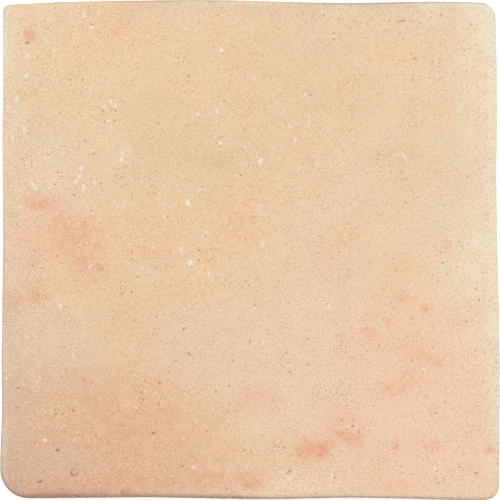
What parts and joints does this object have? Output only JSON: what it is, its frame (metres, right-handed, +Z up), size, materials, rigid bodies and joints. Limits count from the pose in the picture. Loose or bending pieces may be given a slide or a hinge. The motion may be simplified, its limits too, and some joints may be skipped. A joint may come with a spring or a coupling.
{
  "type": "terracotta field tile",
  "caption": "Square handmade terracotta floor tile with wavy edges, unevenly rounded corners, a soft crowned wearing face and a flat bedding face.",
  "frame": {"origin": "middle of the bedding face's box, so the tile lies on Z = 0", "axes": "+X across the tile to the right of the picture, +Y along it to the top of the picture, +Z up out of the wearing face"},
  "size_m": [0.3, 0.3001, 0.02],
  "materials": {
    "terracotta": "unglazed, matte and slightly sandy"
  },
  "bodies": {
    "root": {"field_tile": "terracotta"}
  },
  "joints": []
}
